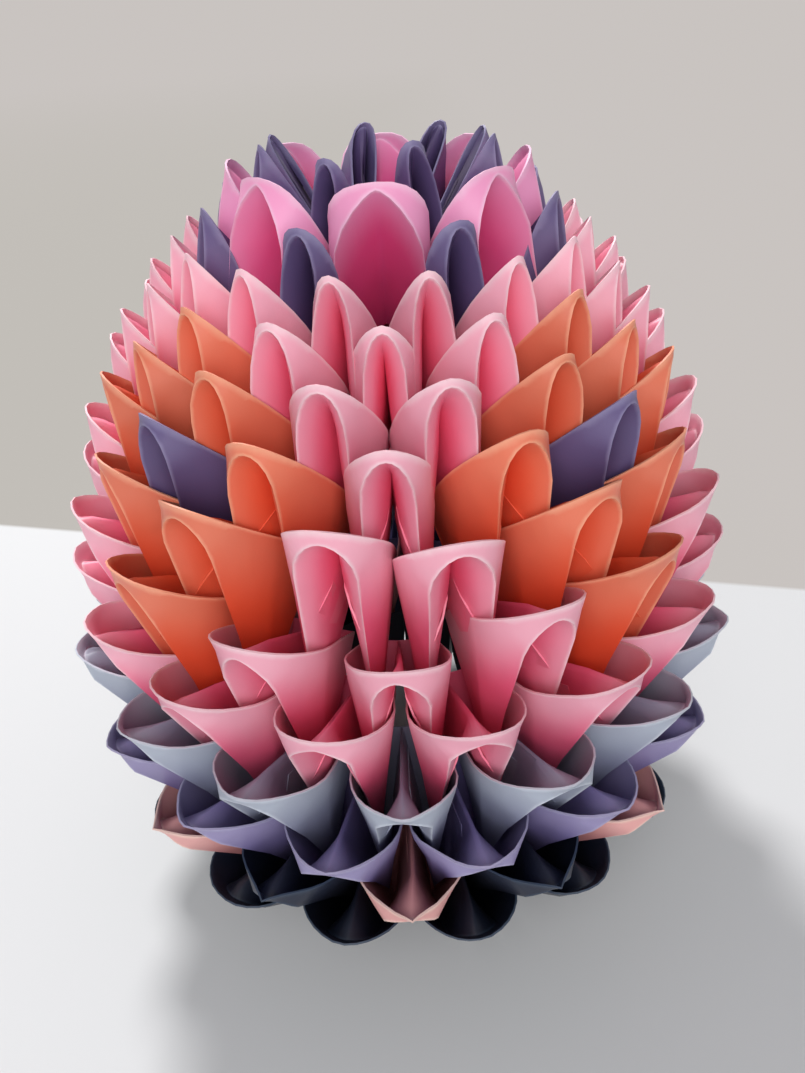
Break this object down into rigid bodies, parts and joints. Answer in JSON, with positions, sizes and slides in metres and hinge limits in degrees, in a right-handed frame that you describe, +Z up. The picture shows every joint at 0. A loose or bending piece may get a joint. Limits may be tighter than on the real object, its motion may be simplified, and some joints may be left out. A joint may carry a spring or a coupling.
{
  "type": "folded paper egg",
  "caption": "Hollow decorative egg of folded triangular paper units whose points are tucked into each other's pockets, in coloured rings, standing on its lowest points.",
  "frame": {"origin": "on the table, on the egg's axis, below its middle", "axes": "+Z up along the egg's axis; the side that faces the viewer in the picture is -Y; +X to the viewer's right"},
  "size_m": [0.0824, 0.0824, 0.0949],
  "materials": {
    "purple_paper": "violet coloured paper, folded, slightly satin",
    "magenta_paper": "bright pink coloured paper, folded, slightly satin",
    "pink_paper": "pale pink coloured paper, folded, slightly satin",
    "orange_paper": "coral orange coloured paper, folded, slightly satin",
    "blue_paper": "pale grey-blue coloured paper, folded, slightly satin",
    "lavender_paper": "lavender coloured paper, folded, slightly satin",
    "peach_paper": "peach pink coloured paper, folded, slightly satin",
    "navy_paper": "near-black navy coloured paper, folded, slightly satin"
  },
  "bodies": {
    "root": {"ring01_purple": "purple_paper", "ring02_magenta": "magenta_paper", "ring03_purple": "purple_paper", "ring04_pink": "pink_paper", "ring05_pink": "pink_paper", "ring05_orange": "orange_paper", "ring06_pink": "pink_paper", "ring06_orange": "orange_paper", "ring07_pink": "pink_paper", "ring07_orange": "orange_paper", "ring07_purple": "purple_paper", "ring08_pink": "pink_paper", "ring08_orange": "orange_paper", "ring09_pink": "pink_paper", "ring09_orange": "orange_paper", "ring10_pink": "pink_paper", "ring11_blue": "blue_paper", "ring12_lavender": "lavender_paper", "ring13_peach": "peach_paper", "ring13_navy": "navy_paper", "ring14_navy": "navy_paper"}
  },
  "joints": []
}
